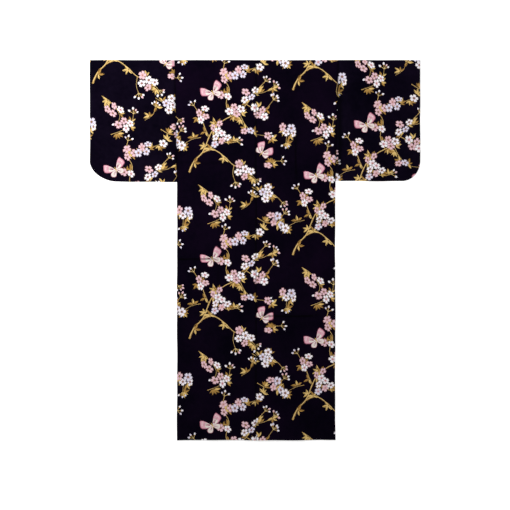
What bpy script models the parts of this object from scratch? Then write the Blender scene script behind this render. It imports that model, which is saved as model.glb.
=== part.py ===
"""Cotton yukata robe, lying flat with its back upwards.

Metres, +Z up. X runs across the garment, +Y towards its shoulder line, and the floor is Z = 0.
Each piece is one length of cloth as a maker cuts it, a thin wall that lies on the pieces below.
Places on the garment are given as "across", the distance from the centre-back seam towards one
side, and "down", the distance below the shoulder line.
"""
import math

import bmesh
import bpy
from mathutils import Vector

# Sizes of the whole garment
LENGTH = 1.520
BACK_HALF = 0.3164
NECK_HALF = 0.085
FRONT_WIDTH = 0.240
ARMHOLE_DROP = 0.485

# Front edge, front overlap strip (okumi) and collar
POINT_DROP = 0.230        # shoulder line to the strip's pointed top
POINT_ACROSS = 0.047      # where that point lies
POINT_BLUNT = 0.030       # the point is cut off where the strip is still wide enough to sew
OVERLAP_REACH = 0.074     # how far the strip passes the centre-back seam
COLLAR_END_DROP = 0.740
COLLAR_NECK_WIDTH = 0.055
COLLAR_END_WIDTH = 0.075

# The sides differ a little: which way they lie, half shoulder, sleeve and its lower outer corner
SIDES = {
    "left": dict(sign=-1, shoulder=0.326, reach=0.665, drop=0.487,
                 corner_wide=0.102, corner_high=0.080, corner_power=1.75),
    "right": dict(sign=1, shoulder=0.329, reach=0.656, drop=0.484,
                  corner_wide=0.075, corner_high=0.081, corner_power=2.0),
}
CUFF_DEPTH = 0.230

# Cloth wall, the gap between pieces, and how layers step over each other
WALL = 0.0012
GAP = 0.0003
LAYER = WALL + GAP
FOLD_RADIUS = LAYER / 2
FOLD_REACH = FOLD_RADIUS + WALL / 2
FRONT_EASE = (0.010, 0.090)    # the right front comes down to the floor between these distances
BACK_EASE = (0.020, 0.120)     # the back comes down a little later, so that it never touches
NECK_EASE = (0.040, 0.120)     # near the shoulder line nothing crosses, and the layers lie flat
END_EASE = 0.090               # the step down below the collar's end

# Spacing of the grid
ROW_STEP = 0.060
FRONT_CELLS = 8
NECK_CELLS = 3
STRIP_CELLS = 4
COLLAR_CELLS = 2
SLEEVE_CELLS = 7
SLEEVE_ROW_STEP = 0.080
CORNER_CELLS = 6
FOLD_CELLS = 4

CENTER_X = (SIDES["left"]["reach"] - SIDES["right"]["reach"]) / 2
TOP_Y = LENGTH / 2

FINISHES = {
    "body": ((0.018, 0.012, 0.024), 0.85),
    "okumi": ((0.020, 0.013, 0.024), 0.85),
    "sleeve": ((0.022, 0.016, 0.032), 0.85),
    "collar": ((0.016, 0.011, 0.021), 0.85),
}


def mix(a, b, share):
    return a + (b - a) * share


def soft_step(value, start, end):
    """1 up to start, 0 from end on, with a smooth slope between."""
    share = min(1.0, max(0.0, (end - value) / (end - start)))
    return share * share * (3 - 2 * share)


def stations(stops, step):
    """Distances from the first stop to the last, through each stop, at most a step apart."""
    result = [stops[0]]
    for start, end in zip(stops, stops[1:]):
        count = max(1, math.ceil((end - start) / step))
        result += [mix(start, end, i / count) for i in range(1, count + 1)]
    return result


def spread(start, end, cells):
    return [mix(start, end, i / cells) for i in range(cells + 1)]


# Outlines, as distances across at a distance down

def side_edge(side, down):
    share = min(1.0, down / ARMHOLE_DROP)
    return mix(side["shoulder"], BACK_HALF, share)


def front_edge(down):
    """Inner edge of a front panel: neck point, strip point, hem."""
    if down < POINT_DROP:
        return mix(NECK_HALF, POINT_ACROSS, down / POINT_DROP)
    hem_across = BACK_HALF - FRONT_WIDTH
    return mix(POINT_ACROSS, hem_across, (down - POINT_DROP) / (LENGTH - POINT_DROP))


def collar_line(down):
    """Where the collar is sewn on: down the front panel's edge, then across the strip."""
    if down < POINT_DROP:
        return front_edge(down)
    share = min(1.0, (down - POINT_DROP) / (COLLAR_END_DROP - POINT_DROP))
    return mix(POINT_ACROSS, -OVERLAP_REACH, share)


def collar_width(down):
    return mix(COLLAR_NECK_WIDTH, COLLAR_END_WIDTH, min(1.0, down / COLLAR_END_DROP))


def front_reach(down):
    """How far one side's front, strip and collar lie past the centre-back seam."""
    with_collar = collar_width(down) * 1.06 - collar_line(down)
    past_end = down - COLLAR_END_DROP
    return mix(OVERLAP_REACH, with_collar, soft_step(past_end, 0.0, END_EASE))


# Heights of the underside of each layer; x is positive on the right

def neck_fade(down):
    return 1.0 - soft_step(down, *NECK_EASE)


def left_front_height(x, down):
    return 0.0


def right_front_height(x, down):
    """On the floor, and up on the left front, strip and collar where they lie under it."""
    return LAYER * neck_fade(down) * soft_step(x - front_reach(down), *FRONT_EASE)


def back_height(x, down):
    """One layer up, and two where both fronts lie under it."""
    reach = front_reach(down)
    both = soft_step(x - reach, *BACK_EASE) * soft_step(-x - reach, *BACK_EASE)
    return LAYER * (1.0 + neck_fade(down) * both)


FRONT_HEIGHTS = {"left": left_front_height, "right": right_front_height}


class Sheet:
    """Points in the middle of a cloth wall, each with the way its outer face looks."""

    def __init__(self):
        self.points = []
        self.cells = []

    def add(self, place, out):
        self.points.append((Vector(place), Vector(out)))
        return len(self.points) - 1

    def lay(self, x, down, underside, out=1):
        """A point of a level stretch, from its place on the garment and its underside's height."""
        place = (CENTER_X + x, TOP_Y - down, underside + WALL / 2)
        return self.add(place, (0, 0, out))

    def join(self, first, second):
        """Cells between two rows of points."""
        for i in range(len(first) - 1):
            a, b, c, d = first[i], first[i + 1], second[i + 1], second[i]
            self.cells += [(a, b, c), (a, c, d)]

    def join_rows(self, rows):
        for first, second in zip(rows, rows[1:]):
            self.join(first, second)

    def fold_over(self, row, away):
        """Rows that carry upper points round a fold; away holds each point's way out."""
        rows = []
        for step in range(1, FOLD_CELLS):
            angle = math.pi * step / FOLD_CELLS
            turned = []
            for index, direction in zip(row, away):
                out = Vector(direction) * math.sin(angle) + Vector((0, 0, math.cos(angle)))
                center = self.points[index][0] - Vector((0, 0, FOLD_RADIUS))
                turned.append(self.add(center + out * FOLD_RADIUS, out))
            rows.append(turned)
        return rows

    def build(self, name, finish):
        """The closed wall: outer faces, inner faces and a rim along every free edge."""
        bm = bmesh.new()
        outer = [bm.verts.new(place + out * WALL / 2) for place, out in self.points]
        inner = [bm.verts.new(place - out * WALL / 2) for place, out in self.points]
        edges = set()
        for cell in self.cells:
            bm.faces.new([outer[i] for i in cell])
            bm.faces.new([inner[i] for i in reversed(cell)])
            edges.update(zip(cell, cell[1:] + cell[:1]))
        for a, b in sorted(edges):
            if (b, a) not in edges:
                bm.faces.new([outer[b], outer[a], inner[a], inner[b]])
        bmesh.ops.recalc_face_normals(bm, faces=bm.faces)
        mesh = bpy.data.meshes.new(name)
        bm.to_mesh(mesh)
        bm.free()
        mesh.shade_smooth()
        mesh.set_sharp_from_angle(angle=math.radians(40))
        mesh.materials.append(cloth_material(name, *finish))
        piece = bpy.data.objects.new(name, mesh)
        bpy.context.scene.collection.objects.link(piece)
        return piece


def cloth_material(name, color, roughness):
    material = bpy.data.materials.new(name + "_cloth")
    material.use_nodes = True
    shader = material.node_tree.nodes["Principled BSDF"]
    shader.inputs["Base Color"].default_value = (*color, 1.0)
    shader.inputs["Roughness"].default_value = roughness
    shader.inputs["Metallic"].default_value = 0.0
    return material


def make_body(side_name):
    """One length of cloth: up the back, over the shoulder and down the front."""
    side = SIDES[side_name]
    sign = side["sign"]
    front_height = FRONT_HEIGHTS[side_name]
    downs = stations([0.0, POINT_DROP, ARMHOLE_DROP, COLLAR_END_DROP, LENGTH], ROW_STEP)
    downs[0] = FOLD_REACH
    sheet = Sheet()
    back_rows = []
    front_rows = []
    for down in downs:
        to_front_edge = spread(side_edge(side, down), front_edge(down), FRONT_CELLS)
        to_center = spread(front_edge(down), GAP / 2, NECK_CELLS)[1:]
        back = [sheet.lay(sign * a, down, back_height(sign * a, down)) for a in to_front_edge]
        neck_down = 0.0 if down == FOLD_REACH else down
        back += [sheet.lay(sign * a, neck_down, back_height(sign * a, down)) for a in to_center]
        front = [sheet.lay(sign * a, down, front_height(sign * a, down), -1) for a in to_front_edge]
        back_rows.append(back)
        front_rows.append(front)
    shoulder = back_rows[0][:FRONT_CELLS + 1]
    fold_rows = sheet.fold_over(shoulder, [(0, 1, 0)] * len(shoulder))
    sheet.join_rows(list(reversed(back_rows)))
    sheet.join_rows([shoulder] + fold_rows + front_rows)
    return sheet.build("body_" + side_name, FINISHES["body"])


def make_okumi(side_name):
    """The strip sewn to a front's inner edge, from its point down to the hem."""
    sign = SIDES[side_name]["sign"]
    front_height = FRONT_HEIGHTS[side_name]
    downs = stations([POINT_DROP + POINT_BLUNT, COLLAR_END_DROP, LENGTH], ROW_STEP)
    sheet = Sheet()
    rows = []
    for down in downs:
        across = spread(front_edge(down) - GAP, collar_line(down), STRIP_CELLS)
        rows.append([sheet.lay(sign * a, down, front_height(sign * a, down)) for a in across])
    sheet.join_rows(rows)
    return sheet.build("okumi_" + side_name, FINISHES["okumi"])


def collar_leg(sheet, side_name):
    """Rows of one front's collar, from its lower end up to the neck point."""
    sign = SIDES[side_name]["sign"]
    front_height = FRONT_HEIGHTS[side_name]
    rows = []
    for down in reversed(stations([0.0, POINT_DROP, COLLAR_END_DROP], ROW_STEP)):
        ahead = collar_line(down + 0.001) - collar_line(down - 0.001)
        along = Vector((ahead, 0.002)).normalized()
        inward = Vector((-along.y, along.x))
        width = collar_width(down)
        if down == 0.0:
            inward = Vector((-1.0, 1.0))
        row = []
        for reach in spread(GAP, width, COLLAR_CELLS):
            a = collar_line(down) + inward.x * reach
            d = down + inward.y * reach
            row.append(sheet.lay(sign * a, d, front_height(sign * a, d)))
        rows.append(row)
    return rows


def make_collar():
    """One strip: up the left front, along the back neck and down the right front."""
    sheet = Sheet()
    left_rows = collar_leg(sheet, "left")
    right_rows = collar_leg(sheet, "right")
    neck_rows = []
    reaches = spread(GAP, COLLAR_NECK_WIDTH, COLLAR_CELLS)
    for share in (0.25, 0.5, 0.75):
        neck_rows.append([sheet.lay(mix(reach - NECK_HALF, NECK_HALF - reach, share), reach, 0.0)
                          for reach in reaches])
    sheet.join_rows(left_rows + neck_rows + list(reversed(right_rows)))
    return sheet.build("collar", FINISHES["collar"])


def sleeve_outline(side):
    """Outer edge from the shoulder line to the bottom: across, down and the way out."""
    reach = side["reach"]
    drop = side["drop"]
    power = 2.0 / side["corner_power"]
    corner_start = drop - side["corner_high"]
    downs = stations([0.0, CUFF_DEPTH, corner_start], SLEEVE_ROW_STEP)
    edge = [(reach, down) for down in downs]
    for step in range(1, CORNER_CELLS + 1):
        angle = math.pi / 2 * step / CORNER_CELLS
        across = reach - side["corner_wide"] * (1.0 - max(0.0, math.cos(angle)) ** power)
        edge.append((across, corner_start + side["corner_high"] * math.sin(angle) ** power))
    result = []
    for i, (across, down) in enumerate(edge):
        before = edge[max(0, i - 1)]
        after = edge[min(len(edge) - 1, i + 1)]
        way = Vector((after[1] - before[1], before[0] - after[0])).normalized()
        if i == len(edge) - 1:
            way = Vector((0.0, 1.0))
        result.append((across, down, way))
    return result


def make_sleeve(side_name):
    """A flat tube: folded along its top, sewn round its bottom and up to the cuff."""
    side = SIDES[side_name]
    sign = side["sign"]
    sheet = Sheet()
    upper_rows = []
    lower_rows = []
    closed_from = None
    ways = []
    for i, (across, down, way) in enumerate(sleeve_outline(side)):
        if i == 0:
            down = FOLD_REACH
        if down >= CUFF_DEPTH:
            closed_from = i if closed_from is None else closed_from
            across -= way.x * FOLD_REACH
            down -= way.y * FOLD_REACH
        ways.append((sign * way.x, -way.y, 0))
        inner = side_edge(side, min(down, ARMHOLE_DROP)) + GAP
        places = spread(inner, across, SLEEVE_CELLS)
        upper_rows.append([sheet.lay(sign * a, down, LAYER) for a in places])
        lower_rows.append([sheet.lay(sign * a, down, 0.0, -1) for a in places])
    sheet.join_rows(list(reversed(upper_rows)))
    top = upper_rows[0]
    top_fold = sheet.fold_over(top, [(0, 1, 0)] * len(top))
    sheet.join_rows([top] + top_fold + lower_rows)
    upper_path = [row[-1] for row in upper_rows[closed_from:]] + upper_rows[-1][-2::-1]
    lower_path = [row[-1] for row in lower_rows[closed_from:]] + lower_rows[-1][-2::-1]
    path_ways = ways[closed_from:] + [(0, -1, 0)] * SLEEVE_CELLS
    sewn_edge = sheet.fold_over(upper_path, path_ways)
    sheet.join_rows([upper_path] + sewn_edge + [lower_path])
    return sheet.build("sleeve_" + side_name, FINISHES["sleeve"])


def main():
    for old in list(bpy.data.objects):
        bpy.data.objects.remove(old, do_unlink=True)
    for side_name in SIDES:
        make_body(side_name)
        make_okumi(side_name)
        make_sleeve(side_name)
    make_collar()


main()
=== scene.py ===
import math
import random

import bpy
import numpy as np
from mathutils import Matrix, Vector
from mathutils.geometry import delaunay_2d_cdt

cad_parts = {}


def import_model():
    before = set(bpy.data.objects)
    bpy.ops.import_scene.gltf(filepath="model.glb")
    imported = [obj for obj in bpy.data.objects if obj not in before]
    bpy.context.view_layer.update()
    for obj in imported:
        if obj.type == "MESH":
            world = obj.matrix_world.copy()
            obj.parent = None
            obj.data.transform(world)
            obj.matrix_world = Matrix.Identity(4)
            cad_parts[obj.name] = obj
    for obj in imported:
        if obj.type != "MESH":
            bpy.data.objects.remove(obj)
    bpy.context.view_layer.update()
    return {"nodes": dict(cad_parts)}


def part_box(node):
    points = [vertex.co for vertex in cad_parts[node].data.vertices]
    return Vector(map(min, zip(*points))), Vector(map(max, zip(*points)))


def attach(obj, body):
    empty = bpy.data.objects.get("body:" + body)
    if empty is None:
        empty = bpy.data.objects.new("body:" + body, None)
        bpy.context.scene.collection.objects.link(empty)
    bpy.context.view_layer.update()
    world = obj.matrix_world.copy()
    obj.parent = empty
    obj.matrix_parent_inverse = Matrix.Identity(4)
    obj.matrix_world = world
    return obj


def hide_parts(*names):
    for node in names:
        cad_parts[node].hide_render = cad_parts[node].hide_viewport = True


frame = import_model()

print("frame loaded:", len(frame["nodes"]), "nodes")


# Sizes of the garment. Places on it are "across", metres to the right of the centre-back seam, and
# "down", metres below the shoulder line.

bodyLow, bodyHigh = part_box("body_left")
garment = {
    "centerX": (bodyHigh.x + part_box("body_right")[0].x) / 2,
    "topY": bodyHigh.y,
    "length": bodyHigh.y - bodyLow.y,
    "backHalf": 0.3164,
    "frontWidth": 0.240,
    "neckHalf": 0.085,
    "armholeDrop": 0.485,
    "pointDrop": 0.230,
    "pointAcross": 0.047,
    "pointBlunt": 0.030,
    "collarEndDrop": 0.740,
    "collarNeckWidth": 0.055,
    "collarEndWidth": 0.075,
    "cuffDepth": 0.230,
    "okumiWidth": 0.152,      # with its turned edge
    "collarTurn": 0.003,      # the collar's turned edge
}
garment["overlapReach"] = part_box("okumi_left")[1].x - garment["centerX"]

cloth = {
    "layer": 0.0015,          # from one layer's underside to the next one's
    "wall": 0.0012,           # the solid that the cloth lies in
    "thick": 0.00085,         # the cloth itself
    "thin": 0.0003,           # where it is a seam allowance
    "foldHalf": 0.0012,       # cloth used up by half a fold
    "sharp": 42.0,            # degrees between faces that stay a hard edge
    "touch": 0.55,            # share of its thickness that a layer lies off the next one, where sewn
    "flatTop": (0.003, 0.060),    # below the fold, where creases and swells set in
    "tuck": 0.00059,          # how far a seam allowance lies below the cloth over it
    "tuckRun": 0.0003,        # and the way it needs to get there
    "allowance": 6.5,         # its width; this and the lengths below are in millimetres
    "play": 0.06,             # between the edges of two pieces
    "fineStep": 11.0,         # grid spacing where the cloth shows
    "coarseStep": 20.0,       # and underneath
    "borderStep": 6.0,        # between points on a cut edge
    "lineStep": 8.0,          # and on a crease or a fold
    "fineFrom": -20.0,        # motifs this far past the shoulder fold are still drawn in full
    "edgeLoops": (1.3, 4.0),  # lines of the mesh inside the cut edge
    "matchGrid": 500,         # cells in a millimetre, for points that count as one
    "wrongCoarser": 1.3,      # the wrong side's grid
    "wrongSide": 0.55,        # how strongly the print comes through
}

sewing = {
    "hemUp": 0.013, "hemDip": 0.00022, "hemHalf": 0.0022,      # the stitched line above the hem
    "cuffIn": 0.011, "cuffDip": 0.00020, "cuffHalf": 0.0020,   # and inside the cuff
    "besideStitches": 2.5,        # millimetres from such a line to a mesh line on each side
    "sideHalf": 1.6, "sleeveHalf": 1.8,       # where sewn layers come together, in millimetres
    # seamDark and seamHalf: how dark and how wide the shade painted along each seam is
    "seamDip": 0.00030, "seamDark": 0.66, "seamHalf": 0.0025,
    "pullHalf": 0.0035, "pucker": 0.35, "puckerHalf": 0.012, "puckerSteps": (0.023, 0.057),
    "flatten": 0.8, "flattenHalf": 0.005,     # how much of a crease a seam takes away
    "edgeHalf": 0.030,                        # swells run out this near to a sewn outer edge
}

layering = {  # from where to where, in metres, a layer settles on the next one down
    "top": (0.040, 0.120),        # below the shoulder line
    "front": (0.010, 0.090),      # beyond the edge of the left front, for the right one
    "back": (0.020, 0.120),       # and for the back
    "collar": 1.06,               # reach of the collar's edge, as a share of its width
    "belowCollar": 0.09,
}

sides = {
    "left": {"sign": -1, "corner": (0.102, 0.080), "power": 1.75},
    "right": {"sign": 1, "corner": (0.075, 0.081), "power": 2.0},
}
for sideName, side in sides.items():
    low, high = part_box("sleeve_" + sideName)
    sideLow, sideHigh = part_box("body_" + sideName)
    outerX, shoulderX = (low.x, sideLow.x) if side["sign"] < 0 else (high.x, sideHigh.x)
    side["reach"] = abs(outerX - garment["centerX"])
    side["shoulder"] = abs(shoulderX - garment["centerX"])
    side["drop"] = high.y - low.y


def mix(a, b, share):
    return a + (b - a) * share


# 1 up to start, 0 from end on; works on numbers and arrays
def softStep(value, start, end):
    share = np.clip((end - value) / (end - start), 0.0, 1.0)
    return share * share * (3 - 2 * share)


# A soft ridge: 1 at no distance, running out over a half width
def ridge(distance, half):
    return np.exp(-(distance / half) ** 2)


# Outlines, as distances from the centre-back seam towards one side

def frontEdge(down):
    drop, point = garment["pointDrop"], garment["pointAcross"]
    hemAcross = garment["backHalf"] - garment["frontWidth"]
    above = mix(garment["neckHalf"], point, down / drop)
    below = mix(point, hemAcross, (down - drop) / (garment["length"] - drop))
    return np.where(down < drop, above, below)


def collarLine(down):
    drop = garment["pointDrop"]
    share = np.clip((down - drop) / (garment["collarEndDrop"] - drop), 0.0, 1.0)
    slanted = mix(garment["pointAcross"], -garment["overlapReach"], share)
    return np.where(down < drop, frontEdge(down), slanted)


def collarWidth(down):
    share = np.minimum(1.0, down / garment["collarEndDrop"])
    return mix(garment["collarNeckWidth"], garment["collarEndWidth"], share)


def frontReach(down):
    withCollar = collarWidth(down) * layering["collar"] - collarLine(down)
    fade = softStep(down - garment["collarEndDrop"], 0.0, layering["belowCollar"])
    return mix(garment["overlapReach"], withCollar, fade)


# Heights of each layer's underside. The left front lies lowest, the right front over it.

def leftFrontHeight(x, down):
    return np.zeros_like(x)


def rightFrontHeight(x, down):
    fade = 1.0 - softStep(down, *layering["top"])
    return cloth["layer"] * fade * softStep(x - frontReach(down), *layering["front"])


def backHeight(x, down):
    reach, side = frontReach(down), layering["back"]
    fade = 1.0 - softStep(down, *layering["top"])
    both = softStep(x - reach, *side) * softStep(-x - reach, *side)
    return cloth["layer"] * (1.0 + fade * both)


frontHeights = {"left": leftFrontHeight, "right": rightFrontHeight}


# Soft folds and creases of the upper layer, listed one by one: where each starts and ends, metres
# across and down, its half width, its rise (a trough is negative), how softly it runs out at its
# ends, and how much of the light it loses

creaseParts = ("start", "end", "wide", "high", "ends", "dark")
creases = [dict(zip(creaseParts, row)) for row in [
    # soft bands pressed along the armholes
    ((0.334, 0.130), (0.3325, 0.415), 0.009, 0.0012, 0.09, 0.62),
    ((0.353, 0.150), (0.349, 0.330), 0.008, -0.0006, 0.09, 0.0),
    ((-0.331, 0.060), (-0.325, 0.300), 0.006, 0.0006, 0.10, 0.25),
    # short pressed lines from folding the robe away
    ((-0.314, 0.797), (-0.190, 0.796), 0.0036, 0.0008, 0.05, 0.78),
    ((0.058, 1.023), (0.224, 1.024), 0.0036, 0.0008, 0.06, 0.78),
    ((0.157, 0.326), (0.159, 0.445), 0.0040, 0.0007, 0.05, 0.60),
    ((-0.150, 0.560), (-0.153, 0.900), 0.0060, 0.0005, 0.12, 0.22),
    ((-0.060, 0.415), (-0.300, 0.409), 0.0060, 0.0005, 0.09, 0.22),
    ((0.020, 0.640), (0.290, 0.645), 0.0060, 0.0005, 0.09, 0.22),
    # broad soft swells
    ((-0.235, 0.060), (-0.180, 0.640), 0.045, 0.0020, 0.20, 0.0),
    ((0.205, 0.100), (0.235, 0.760), 0.040, 0.0018, 0.22, 0.0),
    ((-0.110, 0.900), (-0.215, 1.460), 0.050, 0.0021, 0.20, 0.0),
    ((0.095, 1.060), (0.180, 1.480), 0.042, 0.0022, 0.18, 0.0),
    ((-0.440, 0.040), (-0.500, 0.430), 0.038, 0.0022, 0.12, 0.0),
    ((-0.585, 0.060), (-0.545, 0.360), 0.026, 0.0016, 0.12, 0.0),
    ((-0.370, 0.180), (-0.395, 0.470), 0.022, 0.0014, 0.10, 0.0),
    ((0.430, 0.060), (0.470, 0.420), 0.034, 0.0022, 0.12, 0.0),
    ((0.560, 0.090), (0.590, 0.400), 0.024, 0.0016, 0.11, 0.0),
    ((0.500, 0.300), (0.640, 0.235), 0.018, 0.0012, 0.08, 0.0),
]]

# Long shallow waves over the whole cloth: waves per metre across and down, phase and rise
swells = [
    (2.1, 0.9, 0.4, 0.00080), (3.7, -2.3, 2.1, 0.00050),
    (-6.3, 3.1, 4.4, 0.00024), (11.1, 5.3, 1.2, 0.00010),
]


# How strongly each crease is felt at each place
def creaseShare(crease, x, down):
    (x0, d0), (x1, d1) = crease["start"], crease["end"]
    length = math.hypot(x1 - x0, d1 - d0)
    ux, ud = (x1 - x0) / length, (d1 - d0) / length
    along = (x - x0) * ux + (down - d0) * ud
    aside = (x - x0) * ud - (down - d0) * ux
    ends = softStep(-along, 0.0, crease["ends"]) * softStep(along - length, 0.0, crease["ends"])
    return ends * ridge(aside, crease["wide"])


# Cloth dips towards a seam and puckers a little beside it
def seamPull(distance, along):
    near, far = sewing["puckerSteps"]
    pucker = 0.5 + 0.5 * np.sin(along * 2 * math.pi / near) * np.sin(along * 2 * math.pi / far + 1.0)
    beside = sewing["pucker"] * pucker * ridge(distance, sewing["puckerHalf"])
    return ridge(distance, sewing["pullHalf"]) + beside


# The upper layer's rise. Creases fade at seams and swells at sewn outer edges, metres away; along
# runs beside the seams.
def clothRise(x, down, along, seams, edge):
    rise = np.zeros_like(x)
    for crease in creases:
        rise += crease["high"] * creaseShare(crease, x, down)
    for seam in seams:
        rise *= 1 - sewing["flatten"] * ridge(seam, sewing["flattenHalf"])
    for wavesAcross, wavesDown, phase, high in swells:
        turn = 2 * math.pi * (wavesAcross * x + wavesDown * down) + phase
        rise += high * (1.0 + np.sin(turn))
    rise = rise * (1 - ridge(edge, sewing["edgeHalf"]))
    for seam in seams:
        rise = rise - sewing["seamDip"] * seamPull(seam, along)
    return rise


# How deep the hem or the cuff is drawn in at its stitched line
def stitchDip(distance, kind):
    return sewing[kind + "Dip"] * ridge(distance, sewing[kind + "Half"])


# Share of the light left on the upper layer, in creases and along seams
def clothShade(flat, seams):
    x, down = flat[:, 0] / 1000, np.abs(flat[:, 1]) / 1000
    shade = np.ones_like(x)
    for crease in creases:
        shade *= 1 - crease["dark"] * creaseShare(crease, x, down)
    for seam in seams:
        shade *= 1 - sewing["seamDark"] * ridge(edgeDistance(flat, seam) / 1000, sewing["seamHalf"])
    return np.where(flat[:, 1] < 0, shade, 1.0)


creaseLineWide = 0.012        # creases wider than this need no lines of their own
creaseLinePlaces = (-1.6, -0.8, 0.0, 0.8, 1.6)      # in half widths


# Lines for the cut cloth along the narrow creases inside an outline, in millimetres with y up
def creaseLines(outline):
    result = []
    for crease in creases:
        if crease["wide"] > creaseLineWide:
            continue
        (x0, d0), (x1, d1) = crease["start"], crease["end"]
        length = math.hypot(x1 - x0, d1 - d0)
        nx, nd = (d1 - d0) / length, -(x1 - x0) / length
        for offset in creaseLinePlaces:
            ax, ad = nx * offset * crease["wide"], nd * offset * crease["wide"]
            line = cutLine([((x0 + ax) * 1000, -(d0 + ad) * 1000), ((x1 + ax) * 1000, -(d1 + ad) * 1000)])
            line = [p for p, inside in zip(line, insideOutline(line, outline)) if inside]
            if len(line) > 1:
                result.append(line)
    return result


# The print: blossom branches and butterflies in a half-drop repeat. Each branch is a row, and
# functions put its blossoms, leaves and buds on it. The chart is in half millimetres, x to the
# right and y down.

chart = {
    "unit": 0.5,                  # millimetres for one chart unit
    "column": (828, 664),         # the step to the next column
    "repeat": (0, 1328),          # the step down a column
    "origin": (-321.0, 4.0),      # of the chart on the back, millimetres across and down
    "seed": 11,
}

inks = {  # as they look on the cloth, 0 to 255
    "ground": (3, 1, 10),
    "goldLight": (219, 186, 116), "gold": (168, 130, 68), "goldDark": (72, 50, 26),
    "barkLight": (224, 196, 132), "bark": (185, 150, 88), "barkDark": (84, 60, 36),
    "white": (240, 236, 242), "whiteShade": (200, 188, 204), "whiteEdge": (124, 106, 96),
    "lilac": (218, 214, 230), "lilacShade": (180, 168, 194), "lilacEdge": (110, 94, 108),
    "pink": (223, 188, 196), "pinkShade": (200, 150, 160), "pinkEdge": (128, 82, 84),
    "blush": (202, 144, 158), "rose": (156, 88, 104), "maroon": (72, 32, 44), "stamen": (212, 176, 104),
    "cream": (226, 216, 210), "wingPink": (220, 168, 182), "wingEdge": (158, 92, 112),
}

# Width at the start and end, points it passes, distance between leaf fans, blossoms as pairs of
# share of the way and how many, buds at the tip
branches = [
    (20, 12, [(104, 884), (146, 796), (212, 726), (248, 640), (286, 560), (352, 492)], 150, [(0.98, 3)], 0),
    (14, 6, [(286, 560), (372, 474), (468, 424), (556, 346), (628, 244), (712, 150)], 120,
     [(0.40, 4), (0.70, 4)], 4),
    (9, 5, [(264, 606), (226, 520), (196, 436), (140, 352)], 110, [(0.72, 4)], 3),
    (15, 6, [(212, 726), (296, 704), (382, 758), (462, 832), (552, 858), (636, 940)], 125, [(0.76, 5)], 4),
    (10, 6, [(300, 540), (340, 612), (412, 652), (486, 640)], 130, [(0.45, 5)], 3),
    (11, 6, [(436, 440), (398, 336), (424, 220), (372, 118), (384, 16)], 120, [(0.38, 2), (0.70, 3)], 3),
    (8, 4, [(560, 342), (640, 384), (716, 372), (776, 300)], 110, [(0.52, 4)], 5),
    (7, 4, [(500, 400), (548, 500), (628, 572), (732, 588)], 120, [(0.55, 2), (0.98, 1)], 3),
    (7, 4, [(462, 832), (452, 900), (470, 962)], 0, [], 4),
    (6, 4, [(626, 250), (706, 238), (782, 190)], 90, [], 4),
    (7, 4, [(16, 1160), (52, 1226), (50, 1310)], 90, [(0.45, 4)], 3),
    (8, 4, [(176, 984), (256, 1044), (318, 1136), (306, 1196)], 110, [(0.45, 4)], 3),
    (8, 4, [(248, 1296), (338, 1262), (412, 1204), (430, 1128)], 110, [(0.45, 4)], 4),
    (8, 4, [(604, 1000), (684, 1046), (778, 1062), (846, 1124)], 110, [(0.52, 4)], 4),
    (8, 4, [(648, 1250), (724, 1290), (808, 1272), (862, 1216)], 120, [(0.52, 4)], 4),
    (8, 4, [(452, 76), (524, 104), (596, 62), (668, 34)], 120, [(0.35, 4), (0.98, 1)], 0),
    (6, 4, [(196, 606), (122, 622), (44, 668)], 90, [(0.98, 1)], 3),
    (5, 4, [(520, 1180), (584, 1136), (604, 1070)], 90, [], 4),
    (6, 4, [(720, 840), (772, 800), (836, 792)], 80, [(0.10, 1)], 3),
]

# x, y, tilt in degrees, length of an upper wing, how far the wings open
butterflies = [(292, 250, 28, 106, 1.0), (684, 730, -38, 98, 0.66)]


# Points along a direction, in degrees anticlockwise as seen with y down, put at x, y
def turned(points, x, y, degrees, size=1.0):
    c, s = math.cos(math.radians(degrees)) * size, math.sin(math.radians(degrees)) * size
    return [(x + u * c + v * s, y - u * s + v * c) for u, v in points]


def ring(x, y, radius, count, turn=0.0, notch=1.0):
    result = []
    for i in range(count):
        r = radius * (notch if i % 2 else 1.0)
        angle = math.radians(turn + 360.0 * i / count)
        result.append((x + r * math.cos(angle), y - r * math.sin(angle)))
    return result


# Flowers seen a little from the side: everything narrows across one direction
def leaned(shapes, x, y, lean, narrow):
    c, s = math.cos(math.radians(lean)), math.sin(math.radians(lean))
    result = []
    for ink, points in shapes:
        moved = []
        for px, py in points:
            u, v = (px - x) * c + (py - y) * s, ((py - y) * c - (px - x) * s) * narrow
            moved.append((x + u * c - v * s, y + u * s + v * c))
        result.append((ink, moved))
    return result


petalHalf = [(0.16, 0.05), (0.34, 0.19), (0.58, 0.33), (0.82, 0.34), (0.97, 0.17), (0.91, 0.0)]
leafletHalf = [(0.0, 0.0), (0.18, 0.11), (0.44, 0.215), (0.70, 0.15), (0.88, 0.045), (1.0, 0.0)]
budShape = [(0.50, 0.0), (0.56, 0.08), (0.67, 0.14), (0.81, 0.152), (0.94, 0.086), (1.0, 0.0),
            (0.94, -0.086), (0.81, -0.152), (0.67, -0.14), (0.56, -0.08)]
wingShapes = {
    "upper": [(0.0, 0.0), (0.34, 0.12), (0.72, 0.20), (1.0, 0.15), (0.97, -0.05), (0.91, -0.25),
              (0.78, -0.40), (0.58, -0.38), (0.36, -0.32), (0.14, -0.14)],
    "lower": [(0.0, 0.0), (0.28, 0.24), (0.60, 0.38), (0.88, 0.33), (1.0, 0.10), (0.93, -0.12),
              (0.82, -0.30), (0.54, -0.32), (0.24, -0.17)],
}


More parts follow.
